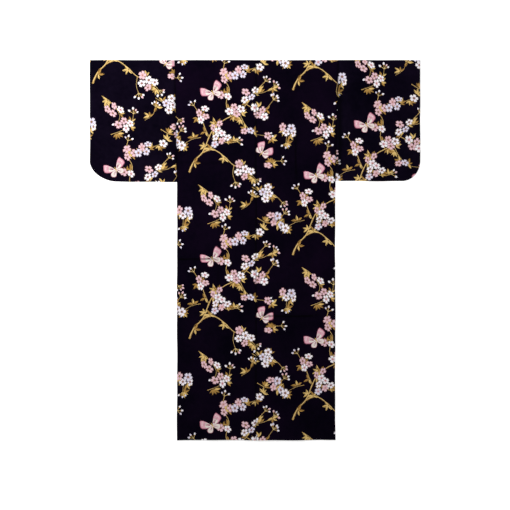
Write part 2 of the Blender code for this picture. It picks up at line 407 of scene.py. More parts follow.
# Each motif has its full drawing and a plainer one for the hidden sides: pairs of ink and outline
def flowerMotif(x, y, radius, petals, heart, chance):
    turn = chance.uniform(0, 72)
    radius *= 0.95
    silhouette = []
    for k in range(5):
        for angle, r in ((0, 0.97), (11, 1.04), (23, 0.96), (36, 0.58), (49, 0.96), (61, 1.04)):
            silhouette += turned([(r, 0.0)], x, y, turn + 72 * k + angle, radius)
    full = [(petals + "Edge", silhouette), (petals + "Shade", ring(x, y, radius * 0.52, 8, turn))]
    whole = petalHalf + [(u, -v) for u, v in petalHalf[-2::-1]]
    for k in range(5):
        angle = turn + 72 * k + chance.uniform(-3, 3)
        full.append((petals, turned(whole, x, y, angle, radius * chance.uniform(0.92, 1.0))))
    full.append(("pinkShade" if petals == "pink" else "blush", ring(x, y, radius * 0.50, 10, turn, 0.40)))
    if heart == "maroon":
        full.append(("maroon", ring(x, y, radius * 0.26, 8, turn)))
        full.append(("stamen", ring(x, y, radius * 0.12, 5, turn)))
    else:
        for k in range(5):
            needle = [(0.05, 0.03), (0.50, 0.0), (0.05, -0.03)]
            full.append(("stamen", turned(needle, x, y, turn + 36 + 72 * k, radius)))
        full.append((heart, ring(x, y, radius * 0.12, 6, turn)))
    plain = [(petals, silhouette[::2]), ("pinkShade", ring(x, y, radius * 0.40, 10, turn, 0.42))]
    lean, narrow = chance.uniform(0, 180), chance.uniform(0.64, 1.0)
    return leaned(full, x, y, lean, narrow), leaned(plain, x, y, lean, narrow)


def leafMotif(x, y, length, count, middle, spread, chance):
    full, plain = [], []
    for k in range(count):
        share = k / max(1, count - 1) - 0.5
        angle = middle + spread * share + chance.uniform(-7, 7)
        size = length * chance.uniform(0.80, 1.08)
        wide = chance.uniform(0.78, 1.02)
        upper = [(u, v * wide) for u, v in leafletHalf]
        lower = [(u, -v * wide) for u, v in leafletHalf[-2:0:-1]]
        light = "goldLight" if chance.random() < 0.50 else "gold"
        dark = "goldDark" if chance.random() < 0.80 else "gold"
        shaded = [(0.10 + u * 0.84, -v * 0.74) for u, v in upper[1:]]
        full.append((light, turned(upper + lower, x, y, angle, size)))
        full.append((dark, turned(shaded, x, y, angle, size)))
        plain.append(("gold", turned(upper[::2] + lower[1::2], x, y, angle, size)))
    return full, plain


def budMotif(x, y, length, direction, ink, chance):
    size = length * 1.50
    stalk = [(0.0, 0.03), (0.55, 0.026), (0.55, -0.026), (0.0, -0.03)]
    cup = [(0.42, 0.0), (0.54, 0.095), (0.68, 0.10), (0.60, 0.0), (0.68, -0.10), (0.54, -0.095)]
    glint = [(0.66, 0.09), (0.81, 0.115), (0.92, 0.055), (0.74, 0.02)]
    parts = [("barkLight", stalk), (ink, budShape), (ink + "Shade", glint), ("gold", cup)]
    full = [(shade, turned(shape, x, y, direction, size)) for shade, shape in parts]
    return full, [(ink, turned(budShape[::2], x, y, direction, size))]


# A Catmull-Rom curve through the points
def smoothPath(points, steps):
    ends = [points[0]] + points + [points[-1]]
    result = []
    for i in range(1, len(ends) - 2):
        for k in range(steps):
            t = k / steps
            result.append(tuple(
                0.5 * (2 * b + (c - a) * t + (2 * a - 5 * b + 4 * c - d) * t * t
                       + (3 * b - a - 3 * c + d) * t ** 3)
                for a, b, c, d in zip(*ends[i - 1:i + 3])))
    return result + [points[-1]]


def stemMotif(start, end, points, chance):
    path = smoothPath(points, 4)
    count = len(path)
    strips = {"outer": [], "glint": [], "shade": []}
    for i, (x, y) in enumerate(path):
        ax, ay = path[max(0, i - 1)]
        bx, by = path[min(count - 1, i + 1)]
        length = math.hypot(bx - ax, by - ay) or 1.0
        nx, ny = (by - ay) / length, -(bx - ax) / length
        half = mix(start, end, i / (count - 1)) / 2 * chance.uniform(0.54, 0.92)
        for name, low, high in (("outer", -1.0, 1.0), ("glint", 0.10, 0.65), ("shade", -0.95, -0.40)):
            strips[name].append(((x + nx * half * low, y + ny * half * low),
                                 (x + nx * half * high, y + ny * half * high)))
    full, plain = [], []
    for name, ink in (("outer", "bark"), ("glint", "barkLight"), ("shade", "barkDark")):
        pairs = strips[name] if name == "outer" else strips[name][1:-1]
        full.append((ink, [a for a, b in pairs] + [b for a, b in reversed(pairs)]))
    pairs = strips["outer"][::3] + strips["outer"][-1:]
    plain.append(("bark", [a for a, b in pairs] + [b for a, b in reversed(pairs)]))
    return full, plain


# Four wings round the body, the lower pair first; one side mirrors the other
def butterflyMotif(x, y, tilt, length, opening, chance):
    full, plain = [], []
    for name, angle, share, ink in (("lower", 128, 0.62, "cream"), ("upper", 50, 1.0, "wingPink")):
        shape = wingShapes[name]
        for side in (-1, 1):
            outline = [(u, side * v) for u, v in smoothPath(shape + shape[:1], 2)[:-1]]
            way, size = tilt + 90 + side * angle * opening, length * share
            field = [(0.05 + u * 0.90, v * 0.86) for u, v in outline]
            pale = [(0.04 + u * 0.55, v * 0.60) for u, v in outline]
            for shade, area in (("wingEdge", outline), (ink, field), ("cream", pale)):
                full.append((shade, turned(area, x, y, way, size)))
            plain.append((ink, turned(outline[::2], x, y, way, size)))
            vein = [(0.20, 0.022), (0.80, 0.004), (0.80, -0.004), (0.20, -0.022)]
            for turn in (-9, -2, 6):
                full.append(("wingEdge", turned(vein, x, y, way - side * turn, size)))
                dot = turned([(0.78, 0.0)], x, y, way - side * turn * 1.2, size)[0]
                full.append(("cream", ring(*dot, 4.2, 6)))
    trunk = [(-0.24, 0.0), (0.0, 0.035), (0.22, 0.02), (0.22, -0.02), (0.0, -0.035)]
    full.append(("stamen", turned(trunk, x, y, tilt + 90, length)))
    return full, plain


petalInks = ("white",) * 3 + ("pink",) * 4 + ("lilac",) * 2


# The leaves, buds and blossoms of one branch
def dress(path, fanStep, blossoms, buds, chance):
    leaves, tips, flowers = [], [], []
    gone, side, due = 0.0, chance.choice((-1, 1)), fanStep * 0.5
    lengths = [0.0]
    for (ax, ay), (bx, by) in zip(path, path[1:]):
        step = math.hypot(bx - ax, by - ay)
        gone += step
        lengths.append(gone)
        way = math.degrees(math.atan2(ay - by, bx - ax))
        if fanStep and gone >= due:
            foot = turned([(0.0, -side * 9.0)], bx, by, way)[0]
            leaves.append(leafMotif(*foot, chance.uniform(44, 55), chance.choice((3, 4, 5)),
                                    way + side * chance.uniform(60, 100),
                                    chance.uniform(130, 200), chance))
            side, due = -side, due + fanStep * chance.uniform(1.0, 1.3)
    for k in range(buds):
        angle = way + 150 * ((k + 0.5) / buds - 0.5) + chance.uniform(-8, 8)
        ink = chance.choice(("white", "white", "pink", "lilac"))
        tips.append(budMotif(*path[-1], chance.uniform(28, 38), angle, ink, chance))
    for share, count in blossoms:
        at = min(len(path) - 1, sum(length < share * gone for length in lengths))
        x, y = path[at]
        turn = chance.uniform(0, 360)
        for k in range(1 + count // 5):
            way = turn + 180 * k + 40
            foot = turned([(40.0, 0.0)], x, y, way)[0]
            leaves.append(leafMotif(*foot, chance.uniform(44, 52), 4, way,
                                    chance.uniform(110, 170), chance))
        for k in range(count):
            angle = math.radians(turn + 62 * k + chance.uniform(-12, 12))
            far = chance.uniform(50, 66) if k else 0.0
            petals = chance.choice(petalInks)
            heart = chance.choice(("rose", "maroon", "maroon"))
            flowers.append(flowerMotif(x + far * math.cos(angle), y - far * math.sin(angle),
                                       chance.uniform(33, 40), petals, heart, chance))
    return leaves, tips, flowers


# Every motif of one repeat, lowest first
def makeMotifs():
    chance = random.Random(chart["seed"])
    layers = [[], [], [], []]
    for start, end, points, fanStep, blossoms, buds in branches:
        layers[0].append(stemMotif(start, end, points, chance))
        dressed = dress(smoothPath(points, 8), fanStep, blossoms, buds, chance)
        for layer, made in zip(layers[1:], dressed):
            layer += made
    layers.append([butterflyMotif(*row, chance) for row in butterflies])
    result = []
    for full, plain in sum(layers, []):
        xs = [p[0] for ink, outline in full for p in outline]
        ys = [p[1] for ink, outline in full for p in outline]
        result.append({"full": full, "plain": plain,
                       "low": (min(xs), min(ys)), "high": (max(xs), max(ys))})
    return result


motifs = makeMotifs()
inkNames = list(inks)


def toLinear(value):
    value = value / 255.0
    return value / 12.92 if value <= 0.04045 else ((value + 0.055) / 1.055) ** 2.4


inkTable = np.array([[toLinear(c) for c in inks[name]] + [1.0] for name in inkNames])
print("print drawn:", len(motifs), "motifs in one repeat")


# Shapes whose motifs meet the panel's box, in millimetres on the flat cloth with y down, lowest
# first. Motifs whose middle lies further down than fineFrom are drawn in full.
def printShapes(low, high, shift, fineFrom):
    unit = chart["unit"]
    (cx, cy), ry = chart["column"], chart["repeat"][1]
    ox, oy, stretch = chart["origin"][0] + shift[0], chart["origin"][1] + shift[1], shift[2]
    first = math.floor((low[0] - ox) / (cx * unit)) - 1
    last = math.ceil((high[0] - ox) / (cx * unit)) + 1
    result = []
    for motif in motifs:
        (x0, y0), (x1, y1) = motif["low"], motif["high"]
        for column in range(first, last):
            left, right = ox + (x0 + cx * column) * unit, ox + (x1 + cx * column) * unit
            if right < low[0] or left > high[0]:
                continue
            top = math.ceil(((low[1] - oy) / unit - cy * column - y1) / ry)
            bottom = math.floor(((high[1] - oy) / unit - cy * column - y0) / ry)
            for row in range(top, bottom + 1):
                dx, dy = cx * column, cy * column + ry * row
                fine = oy + ((y0 + y1) / 2 + dy) * unit > fineFrom
                for ink, outline in motif["full" if fine else "plain"]:
                    place = [(ox + (u + dx) * unit, oy + (v + dy) * unit * stretch) for u, v in outline]
                    result.append((inkNames.index(ink), place))
    return result


def signedArea(points):
    total = 0.0
    for (x0, y0), (x1, y1) in zip(points, points[1:] + points[:1]):
        total += x0 * y1 - x1 * y0
    return total / 2


# The same line with no stretch longer than step, and with a point wherever it crosses a level of y
def dense(points, step, closed=True, levels=()):
    result = []
    pairs = list(zip(points, points[1:] + points[:1])) if closed else list(zip(points, points[1:]))
    for (x0, y0), (x1, y1) in pairs:
        count = max(1, math.ceil(math.hypot(x1 - x0, y1 - y0) / step))
        shares = [i / count for i in range(count)]
        if abs(y1 - y0) > 1e-6:
            crossings = [(level - y0) / (y1 - y0) for level in levels]
            shares += [share for share in crossings if 1e-3 < share < 1 - 1e-3]
        result += [(mix(x0, x1, share), mix(y0, y1, share)) for share in sorted(set(shares))]
    return result if closed else result + [points[-1]]


# The closed outline moved inwards; points run anticlockwise
def inset(points, distance):
    result = []
    count = len(points)
    for i in range(count):
        (ax, ay), (bx, by), (cx, cy) = points[i - 1], points[i], points[(i + 1) % count]
        n1 = Vector((-(by - ay), bx - ax)).normalized()
        n2 = Vector((-(cy - by), cx - bx)).normalized()
        both = n1 + n2
        both *= distance / max(0.35, both.length_squared / 2)
        result.append((bx + both.x, by + both.y))
    return result


def insideOutline(points, outline):
    points = np.asarray(points)
    inside = np.zeros(len(points), bool)
    for (x0, y0), (x1, y1) in zip(outline, outline[1:] + outline[:1]):
        if abs(y1 - y0) < 1e-12:
            continue
        crosses = (points[:, 1] > min(y0, y1)) & (points[:, 1] <= max(y0, y1))
        at = x0 + (points[:, 1] - y0) / (y1 - y0) * (x1 - x0)
        inside ^= crosses & (points[:, 0] < at)
    return inside


# Triangles of one side of the cloth inside its border, and the ink of each. The second coordinate
# runs up the cloth, so the print's y is its negative.
def triangulate(border, lines, shapes, step, edgeLoops):
    points = [Vector(p) for p in border]
    faces = [list(range(len(border)))]
    edges = []
    loops = [(inset(border, distance), True) for distance in edgeLoops]
    for line, closed in loops + [(line, False) for line in lines]:
        first = len(points)
        points += [Vector(p) for p in line]
        edges += [(first + i, first + i + 1) for i in range(len(line) - 1)]
        if closed:
            edges.append((first + len(line) - 1, first))
    inkOfFace = [0]
    for ink, place in shapes:
        first = len(points)
        loop = [(x, -y) for x, y in place]
        points += [Vector(p) for p in (loop if signedArea(loop) > 0 else loop[::-1])]
        faces.append(list(range(first, first + len(place))))
        inkOfFace.append(ink)
    xs, ys = [p[0] for p in border], [p[1] for p in border]
    for i in range(int((max(xs) - min(xs)) / step) + 1):
        for j in range(int((max(ys) - min(ys)) / step) + 1):
            shove = 0.5 * (j % 2)
            points.append(Vector((min(xs) + (i + shove) * step, min(ys) + (j + 0.37) * step)))
    out = delaunay_2d_cdt(points, edges, faces, 1, 1e-4, True)
    flat = np.array([tuple(p) for p in out[0]])
    kept = [(triangle, inkOfFace[max(origins)]) for triangle, origins in zip(out[2], out[5])
            if 0 in origins]
    triangles = np.array([triangle for triangle, ink in kept])
    used, renumbered = np.unique(triangles, return_inverse=True)
    return flat[used], renumbered.reshape(-1, 3), np.array([ink for triangle, ink in kept])


# The triangles' free edges, each once, running the way their triangle does
def freeEdges(triangles, count):
    directed = np.vstack([triangles[:, pair] for pair in ([0, 1], [1, 2], [2, 0])]).astype(np.int64)
    forward = directed[:, 0] * count + directed[:, 1]
    backward = directed[:, 1] * count + directed[:, 0]
    free = ~np.isin(forward, backward)
    return directed[free], np.tile(np.arange(len(triangles)), 3)[free]


nowhere = 1e9             # a fineFrom that draws no motif in full


# One flat piece of printed cloth, in millimetres: the right side is drawn in full where it shows,
# the wrong side plainer. Both sides have the same border points.
def cutAndPrint(outline, step, node, lines=(), levels=(), fineFrom=nowhere):
    if signedArea(outline) < 0:
        outline = outline[::-1]
    border = dense(outline, cloth["borderStep"], levels=levels)
    xs, ys = [p[0] for p in border], [p[1] for p in border]
    low, high = (min(xs), -max(ys)), (max(xs), -min(ys))
    shapes = printShapes(low, high, shifts[node], fineFrom)
    right = triangulate(border, lines, shapes, step, cloth["edgeLoops"])
    edges = freeEdges(right[1], len(right[0]))[0]
    following = dict(edges.tolist())
    chain = [int(edges[0][0])]
    while following[chain[-1]] != chain[0]:
        chain.append(following[chain[-1]])
    border = [tuple(right[0][i]) for i in chain]
    plain = printShapes(low, high, shifts[node], nowhere)
    corners = [(x, -y) for ink, place in plain for x, y in place]
    within = insideOutline(corners, border)
    kept, first = [], 0
    for ink, place in plain:
        if within[first:first + len(place)].all():
            kept.append((ink, place))
        first += len(place)
    wrong = triangulate(border, lines, kept, step * cloth["wrongCoarser"], cloth["edgeLoops"][:1])
    return {"right": right, "wrong": wrong}


# Numbers of the nearest points of the first set for each of the second, which lie on them
def matchPoints(first, second):
    grid = cloth["matchGrid"]
    keys = {(round(x * grid), round(y * grid)): i for i, (x, y) in enumerate(first)}
    result = []
    for x, y in second:
        near = [keys.get((round(x * grid) + i, round(y * grid) + j))
                for i in (0, 1, -1) for j in (0, 1, -1)]
        result.append(next((n for n in near if n is not None), -1))
    return result


def addObject(name, data):
    thing = bpy.data.objects.new(name, data)
    bpy.context.scene.collection.objects.link(thing)
    return thing


# A closed thin shell. mapped gives a place and the way the right side looks for each flat point.
def shellMesh(name, sheet, mapped, seams, thickness):
    parts, colors, faces, shades, start = [], [], [], [], 0
    ground = inkTable[0]
    rims = []
    for sideName, turn in (("right", 1.0), ("wrong", -1.0)):
        flat, triangles, inkIndex = sheet[sideName]
        place, way = mapped(flat)
        thick = cloth["thick"] if thickness is None else thickness(flat)[:, None]
        parts.append(place + way * thick / 2 * turn)
        shades.append(clothShade(flat, seams) if seams and turn > 0 else np.ones(len(flat)))
        shown = inkTable[inkIndex]
        colors.append(shown if turn > 0 else ground + (shown - ground) * cloth["wrongSide"])
        faces.append((triangles if turn > 0 else triangles[:, ::-1]) + start)
        edges, owner = freeEdges(triangles, len(flat))
        rims.append((flat, edges, owner, start))
        start += len(flat)
    flat, edges, owner, first = rims[0]
    otherFlat, otherEdges, second = rims[1][0], rims[1][1], rims[1][3]
    match = matchPoints(otherFlat[otherEdges[:, 0]], flat[edges[:, 0]])
    matchEnd = matchPoints(otherFlat[otherEdges[:, 0]], flat[edges[:, 1]])
    rim, rimColors = [], []
    for (a, b), mine, i, j in zip(edges.tolist(), owner, match, matchEnd):
        if i < 0 or j < 0:
            continue
        c, d = int(otherEdges[i, 0]) + second, int(otherEdges[j, 0]) + second
        rim += [(b, a, c), (b, c, d)]
        rimColors += [inkTable[sheet["right"][2][mine]]] * 2
    faces = np.vstack(faces + [np.array(rim)])
    points, faceColors = np.vstack(parts), np.vstack(colors + [np.array(rimColors)])
    mesh = bpy.data.meshes.new(name)
    mesh.vertices.add(len(points))
    mesh.vertices.foreach_set("co", points.ravel())
    mesh.loops.add(faces.size)
    mesh.loops.foreach_set("vertex_index", faces.ravel().astype(np.int32))
    mesh.polygons.add(len(faces))
    mesh.polygons.foreach_set("loop_start", np.arange(0, faces.size, 3, dtype=np.int32))
    mesh.update(calc_edges=True)
    attribute = mesh.color_attributes.new("print", "FLOAT_COLOR", "CORNER")
    attribute.data.foreach_set("color", np.repeat(faceColors, 3, axis=0).ravel())
    attribute = mesh.attributes.new("shade", "FLOAT", "POINT")
    attribute.data.foreach_set("value", np.concatenate(shades))
    mesh.validate()
    mesh.shade_smooth()
    mesh.set_sharp_from_angle(angle=math.radians(cloth["sharp"]))
    return addObject(name, mesh)


# The cloth never lies quite straight: the whole garment sways a little, more towards its lower edges
def world(x, down, z):
    loose = 0.3 + 0.7 * np.clip(down / 0.45, 0.0, 1.0)
    aside = (0.0007 * np.sin(2 * math.pi * (1.9 * down + 0.6 * x) + 0.7)
             + 0.0004 * np.sin(37.0 * down + 2.0))
    lower = 0.0009 * np.sin(2 * math.pi * 2.3 * x + 0.5) + 0.0006 * np.sin(2 * math.pi * 6.1 * x + 1.9)
    across, up = garment["centerX"] + x + aside * loose, garment["topY"] - down - lower * loose
    return np.stack([across, up, z], 1)


# Cloth folded at the shoulder line. Flat y is negative on the upper layer, zero at the fold and
# positive on the lower layer. pull is how far both layers come together at a sewn edge, and under
# how far a point lies beyond a seam, as the allowance below the next piece.
def foldedCloth(flat, upperHeight, lowerHeight, rise, pull, under):
    x, along = flat[:, 0] / 1000, flat[:, 1] / 1000
    half, mid = cloth["foldHalf"], cloth["wall"] / 2
    reach = cloth["layer"] / 2 + mid
    down = np.maximum(np.abs(along) - half, 0.0) + reach
    upper = upperHeight(x, down) + mid
    lower = lowerHeight(x, down) + mid
    angle = np.clip((along + half) / (2 * half), 0.0, 1.0) * math.pi
    onTop = along < 0
    near, far = cloth["flatTop"]
    lifted = np.where(onTop, rise(x, down), 0.0) * softStep(-down, -far, -near)
    middle = (upper + lower) / 2
    tucked = cloth["tuck"] * (1 - softStep(under, 0.0, cloth["tuckRun"]))
    layers = np.where(onTop, upper + lifted - tucked, lower)
    apart = cloth["thick"] * cloth["touch"]
    touching = np.where(onTop, middle + apart, middle - apart)
    inFold = np.abs(along) < half
    z = np.where(inFold, middle + (upper - lower) / 2 * np.cos(angle), mix(layers, touching, pull))
    downNow = np.where(inFold, reach - (upper - lower) / 2 * np.sin(angle), down)
    way = np.stack([np.zeros_like(x), np.where(inFold, np.sin(angle), 0.0),
                    np.where(inFold, np.cos(angle), np.where(onTop, 1.0, -1.0))], 1)
    return world(x, downNow, z), way


# Distance from each point to a line of points
def edgeDistance(points, border):
    best = np.full(len(points), 1e9)
    for (x0, y0), (x1, y1) in zip(border, border[1:]):
        length = math.hypot(x1 - x0, y1 - y0)
        ux, uy = (x1 - x0) / length, (y1 - y0) / length
        along = np.clip((points[:, 0] - x0) * ux + (points[:, 1] - y0) * uy, 0, length)
        distance = np.hypot(points[:, 0] - x0 - along * ux, points[:, 1] - y0 - along * uy)
        best = np.minimum(best, distance)
    return best


# Nodes and materials

def newGroup(name, inputs, outputs, kind="ShaderNodeTree"):
    group = bpy.data.node_groups.new(name, kind)
    for label, socketKind, value in inputs:
        socket = group.interface.new_socket(name=label, in_out="INPUT",
                                            socket_type="NodeSocket" + socketKind)
        if value is not None:
            socket.default_value = value
    for label, socketKind in outputs:
        group.interface.new_socket(name=label, in_out="OUTPUT",
                                   socket_type="NodeSocket" + socketKind)
    return group, group.nodes.new("NodeGroupInput").outputs, group.nodes.new("NodeGroupOutput").inputs


# A node with its inputs, which are values or other nodes' outputs, and its settings
def addNode(tree, kind, inputs=(), **settings):
    node = tree.nodes.new(kind)
    for name, value in settings.items():
        setattr(node, name, value)
    for name, value in dict(inputs).items():
        if isinstance(value, bpy.types.NodeSocket):
            tree.links.new(value, node.inputs[name])
        else:
            node.inputs[name].default_value = value
    return node


def mathNode(tree, operation, *values):
    return addNode(tree, "ShaderNodeMath", enumerate(values), operation=operation).outputs[0]


def vectorNode(tree, operation, inputs):
    return addNode(tree, "ShaderNodeVectorMath", inputs, operation=operation).outputs["Vector"]


def newMaterial(name, roughness, specular):
    material = bpy.data.materials.new(name)
    material.use_nodes = True
    shader = material.node_tree.nodes["Principled BSDF"]
    shader.inputs["Roughness"].default_value = roughness
    shader.inputs["Specular IOR Level"].default_value = specular
    return material, material.node_tree, shader


# Plain weave: a height and a thread shade from crossed waves, with uneven slubs
def makeWeaveGroup():
    group, given, end = newGroup(
        "plainWeave",
        [("Vector", "Vector", None), ("Threads per metre", "Float", 1400.0), ("Slub", "Float", 0.3)],
        [("Height", "Float"), ("Shade", "Float")])
    scale = mathNode(group, "MULTIPLY", given["Threads per metre"], math.pi / 10)
    thread = {"Vector": given["Vector"], "Scale": scale, "Distortion": 0.6, "Detail": 1.0}
    waves = [addNode(group, "ShaderNodeTexWave", thread, bands_direction=axis,
                     wave_profile="SIN").outputs["Fac"] for axis in ("X", "Y")]
    slub = addNode(group, "ShaderNodeTexNoise",
                   {"Vector": given["Vector"], "Scale": 260.0, "Detail": 3.0})
    uneven = mathNode(group, "MULTIPLY", slub.outputs["Fac"], given["Slub"])
    height = mathNode(group, "ADD", mathNode(group, "MAXIMUM", *waves), uneven)
    group.links.new(height, end["Height"])
    group.links.new(mathNode(group, "MULTIPLY_ADD", uneven, 1.0, 0.85), end["Shade"])
    return group


# Broad uneven purplish patches on the dark ground, placed by noise
def makeGroundPatchGroup():
    group, given, end = newGroup(
        "unevenGround", [("Vector", "Vector", None), ("Amount", "Float", 0.5)], [("Fade", "Float")])
    place = given["Vector"]
    broad = addNode(group, "ShaderNodeTexNoise",
                    {"Vector": place, "Scale": 5.5, "Detail": 4.0, "Roughness": 0.55})
    fine = addNode(group, "ShaderNodeTexNoise", {"Vector": place, "Scale": 70.0, "Detail": 2.0})
    both = mathNode(group, "MULTIPLY_ADD", fine.outputs["Fac"], 0.3, broad.outputs["Fac"])
    shifted = mathNode(group, "SUBTRACT", both, 0.45)
    group.links.new(mathNode(group, "MULTIPLY", shifted, given["Amount"]), end["Fade"])
    return group


weaveGroup = makeWeaveGroup()
groundPatchGroup = makeGroundPatchGroup()

cotton = {"roughness": 0.86, "specular": 0.02, "threads": 1400.0, "slub": 0.30,
          "bump": 0.25, "bumpHeight": 0.0002}
groundPatches = {  # how uneven the ground is, and the colour that its patches add
    "body": {"fade": 0.50, "bloom": (0.014, 0.004, 0.019)},
    "okumi": {"fade": 0.50, "bloom": (0.014, 0.004, 0.019)},
    "sleeve": {"fade": 0.55, "bloom": (0.016, 0.009, 0.026)},
    "collar": {"fade": 0.40, "bloom": (0.015, 0.004, 0.017)},
}


# Printed cotton: the print and the shade painted into creases and along seams are attributes of the piece
def printedCotton(name, patchTone):
    material, tree, shader = newMaterial(name, cotton["roughness"], cotton["specular"])
    place = tree.nodes.new("ShaderNodeTexCoord").outputs["Object"]
    ink = addNode(tree, "ShaderNodeAttribute", attribute_name="print").outputs["Color"]
    # the shade painted into creases and along seams
    crease = addNode(tree, "ShaderNodeAttribute", attribute_name="shade").outputs["Fac"]
    weave = {"Vector": place, "Threads per metre": cotton["threads"], "Slub": cotton["slub"]}
    woven = addNode(tree, "ShaderNodeGroup", weave, node_tree=weaveGroup).outputs
    fade = addNode(tree, "ShaderNodeGroup", {"Vector": place, "Amount": patchTone["fade"]},
                   node_tree=groundPatchGroup)
    patchShare = mathNode(tree, "MAXIMUM", fade.outputs["Fade"], 0.0)
    bloom = vectorNode(tree, "SCALE", {0: patchTone["bloom"], "Scale": patchShare})
    patched = vectorNode(tree, "ADD", {0: ink, 1: bloom})
    light = mathNode(tree, "MULTIPLY", woven["Shade"], crease)
    tree.links.new(vectorNode(tree, "SCALE", {0: patched, "Scale": light}), shader.inputs["Base Color"])
    bump = addNode(tree, "ShaderNodeBump", {"Strength": cotton["bump"], "Distance": cotton["bumpHeight"],
                                            "Height": woven["Height"]})
    tree.links.new(bump.outputs["Normal"], shader.inputs["Normal"])
    return material


cottonMaterials = {name: printedCotton(name + "Cotton", patchTone) for name, patchTone in groundPatches.items()}


# The pieces

pieces = {}
shifts = {  # how far the print moves on each piece, millimetres across and down, and its stretch
    "body_left": (2.0, 3.0, 1.0015), "body_right": (1.5, 7.0, 0.992),
    "sleeve_left": (30.0, -20.0, 1.0), "sleeve_right": (204.0, -200.0, 1.0),
    "okumi_left": (120.0, 60.0, 1.0), "okumi_right": (-150.0, 210.0, 1.0),
    "collar": (40.0, 90.0, 1.0),
}
foldLevels = [cloth["foldHalf"] * 1000 * share for share in (-1.0, -0.6, -0.2, 0.2, 0.6, 1.0)]


# Points given for the right side, on their own side
def onSide(sign, points):
    return [(sign * a, y) for a, y in points]


# An open line in the mesh of the cut cloth
def cutLine(points):
    return dense(points, cloth["lineStep"], closed=False)


def foldLines(sign, start, end):
    return [cutLine(onSide(sign, [(start, y), (end, y)])) for y in foldLevels]


# A stitched line's distance from its edge, with a mesh line on each side, in millimetres
def besideStitches(place):
    return [place * 1000 + aside * sewing["besideStitches"] for aside in (-1, 0, 1)]


def keepPiece(node, sheet, mapped, seams=(), thickness=None):
    piece = shellMesh("yukata_" + node, sheet, mapped, seams, thickness)
    pieces[node] = piece
    print(node, "made:", len(piece.data.polygons), "triangles")


# How far points of the upper layer lie beyond a seam line that runs down the cloth
def beyond(flat, seam, sign):
    (x0, y0), (x1, y1) = seam
    at = np.interp(flat[:, 1], *zip(*sorted([(y0, x0), (y1, x1)])))
    return np.where(flat[:, 1] < 0, np.maximum(0.0, (flat[:, 0] - at) * sign) / 1000, 0.0)


# The allowances beside the armhole and the centre seam run out slantwise at their ends
def makeBody(sideName):
    side, isLeft = sides[sideName], sideName == "left"
    sign = side["sign"]
    length, gap, more = garment["length"] * 1000, cloth["play"] / 2, cloth["allowance"]
    drop, point = garment["armholeDrop"] * 1000, garment["pointDrop"] * 1000
    half, shoulder = garment["backHalf"] * 1000, side["shoulder"] * 1000
    neck, pointAcross = garment["neckHalf"] * 1000, garment["pointAcross"] * 1000
    hemAcross = half - garment["frontWidth"] * 1000
    back = [(gap, -length), (half, -length), (half, -drop + 1), (half + more, -drop + 9),
            (shoulder + more, -20), (shoulder, -5)]
    front = [(shoulder, 0), (half, drop), (half, length), (hemAcross, length), (pointAcross, point),
             (neck, 0), (gap, 0)]
    middle = [(gap, -3), (-more, -12), (-more, 10 - length)] if isLeft else []
    outline = onSide(sign, back + front + middle)
    lines = foldLines(sign, neck - 1, shoulder - 1)
    if isLeft:
        lines += [cutLine([(x, -length + 2), (x, -13)]) for x in (0.0, 0.3)]
    for out in (0.0, 0.3):
        lines.append(cutLine(onSide(sign, [(half + out, -drop + 10), (shoulder + out, -21)])))
    lines += creaseLines(onSide(sign, [(1, -length + 3), (half - 2, -length + 3), (half - 2, -drop),
                                       (shoulder - 2, -8), (1, -8)]))
    for up in besideStitches(sewing["hemUp"]):
        lines.append(onSide(sign, [(5, up - length), (half - 5, up - length)]))
    sheet = cutAndPrint(outline, cloth["fineStep"], "body_" + sideName, lines, foldLevels,
                        cloth["fineFrom"])
    centerSeam = [(0.0, -length), (0.0, 0.0)]
    armhole = onSide(sign, [(half, -drop), (shoulder, 0.0)])
    sideSeam = onSide(sign, [(half, -length), (half, -drop)])
    frontSide = onSide(sign, [(half, drop), (half, length)])

    def underShare(flat):
        under = beyond(flat, armhole, sign)
        return np.maximum(under, beyond(flat, centerSeam, 1)) if isLeft else under

    def mapped(flat):
        edge = edgeDistance(flat, sideSeam)
        sewn = np.minimum(edge, edgeDistance(flat, frontSide))
        seams = [edgeDistance(flat, seam) / 1000 for seam in (centerSeam, armhole)]

        def rise(x, down):
            lifted = clothRise(x, down, flat[:, 1] / 1000, seams, edge / 1000)
            return lifted - stitchDip(down - (garment["length"] - sewing["hemUp"]), "hem")

        return foldedCloth(flat, backHeight, frontHeights[sideName], rise,
                           ridge(sewn, sewing["sideHalf"]), underShare(flat))

    def thickness(flat):
        return mix(cloth["thin"], cloth["thick"], softStep(underShare(flat), 0.0, cloth["tuckRun"]))

    keepPiece("body_" + sideName, sheet, mapped,
              (centerSeam, armhole), thickness)


# The rounded lower outer corner, from the outer edge to the bottom, in millimetres
def sleeveCorner(side):
    wide, high = (value * 1000 for value in side["corner"])
    power = 2.0 / side["power"]
    result = []
    for step in range(17):
        angle = math.pi / 2 * step / 16
        across = side["reach"] * 1000 - wide * (1 - max(0.0, math.cos(angle)) ** power)
        result.append((across, side["drop"] * 1000 - high * (1 - math.sin(angle) ** power)))
    return result


